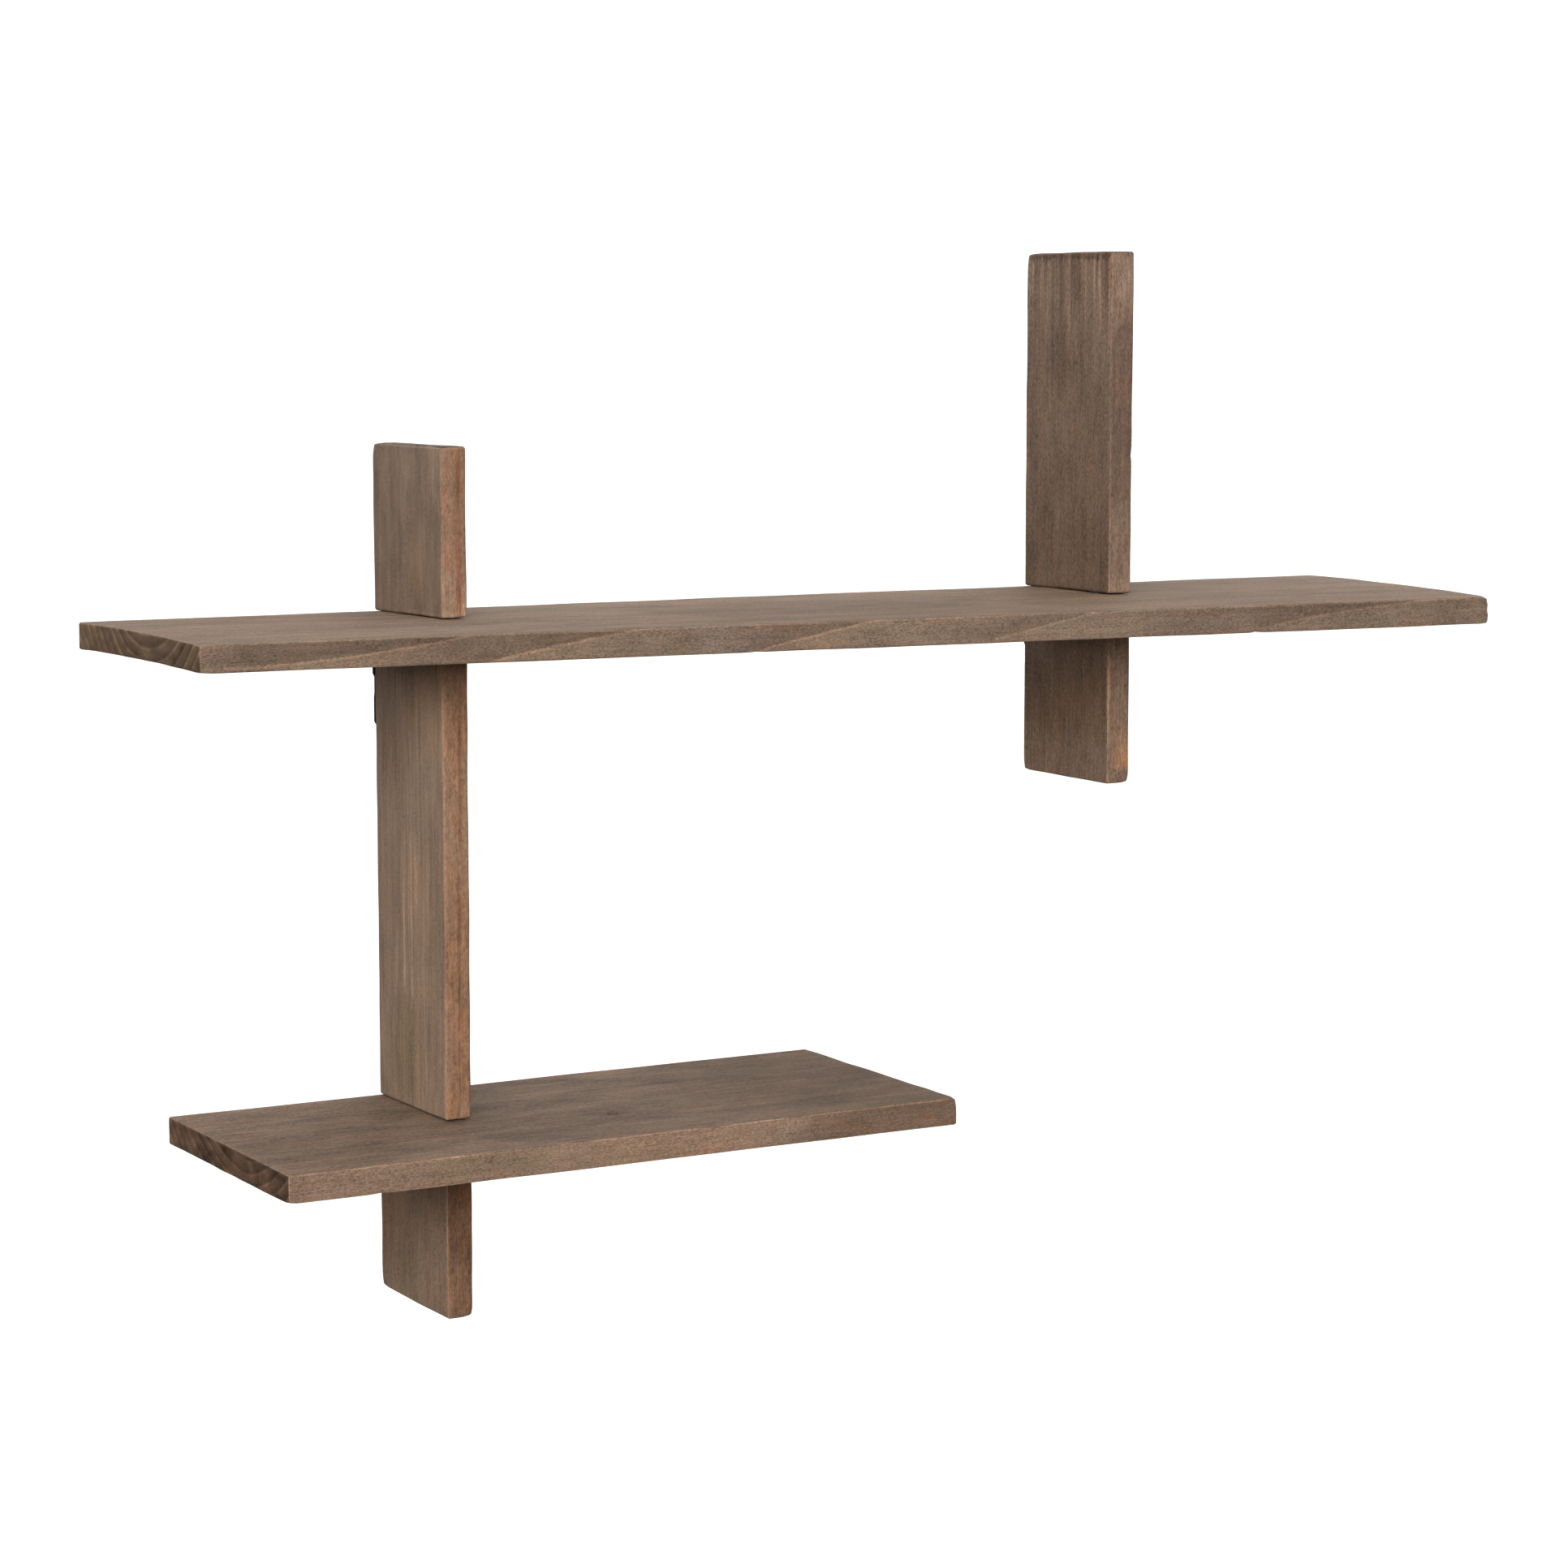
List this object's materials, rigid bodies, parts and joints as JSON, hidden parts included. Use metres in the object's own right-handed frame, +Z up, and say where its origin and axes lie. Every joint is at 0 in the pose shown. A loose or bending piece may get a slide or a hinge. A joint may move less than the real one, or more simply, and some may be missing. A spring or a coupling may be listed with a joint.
{
  "type": "wall shelf",
  "caption": "Two-level wooden wall shelf: a long and a short plank carried by stacked plank uprights, hung on the wall by keyhole plates.",
  "frame": {"origin": "in the wall plane, half way between the centres of the two round keyhole entries; the wood's back is 1.5 mm in front of the wall", "axes": "+X to the right along the wall, +Y into the wall, +Z up"},
  "size_m": [0.6, 0.1295, 0.4265],
  "materials": {
    "stained_wood": "matt grey-brown stained softwood with open grain",
    "dowel_wood": "plain beech, unfinished",
    "dark_steel": "black, half matt",
    "zinc_steel": "zinc plated"
  },
  "bodies": {
    "root": {"long_shelf": "stained_wood", "short_shelf": "stained_wood", "left_upright_top": "stained_wood", "left_upright_middle": "stained_wood", "left_upright_bottom": "stained_wood", "right_upright_top": "stained_wood", "right_upright_bottom": "stained_wood", "left_long_dowel_rear": "dowel_wood", "left_long_dowel_front": "dowel_wood", "left_long_joint_screw": "zinc_steel", "left_short_dowel_rear": "dowel_wood", "left_short_dowel_front": "dowel_wood", "left_short_joint_screw": "zinc_steel", "right_long_dowel_rear": "dowel_wood", "right_long_dowel_front": "dowel_wood", "right_long_joint_screw": "zinc_steel", "left_hanger_plate": "dark_steel", "left_hanger_screw_upper": "zinc_steel", "left_hanger_screw_lower": "zinc_steel", "right_hanger_plate": "dark_steel", "right_hanger_screw_upper": "zinc_steel", "right_hanger_screw_lower": "zinc_steel"}
  },
  "joints": []
}
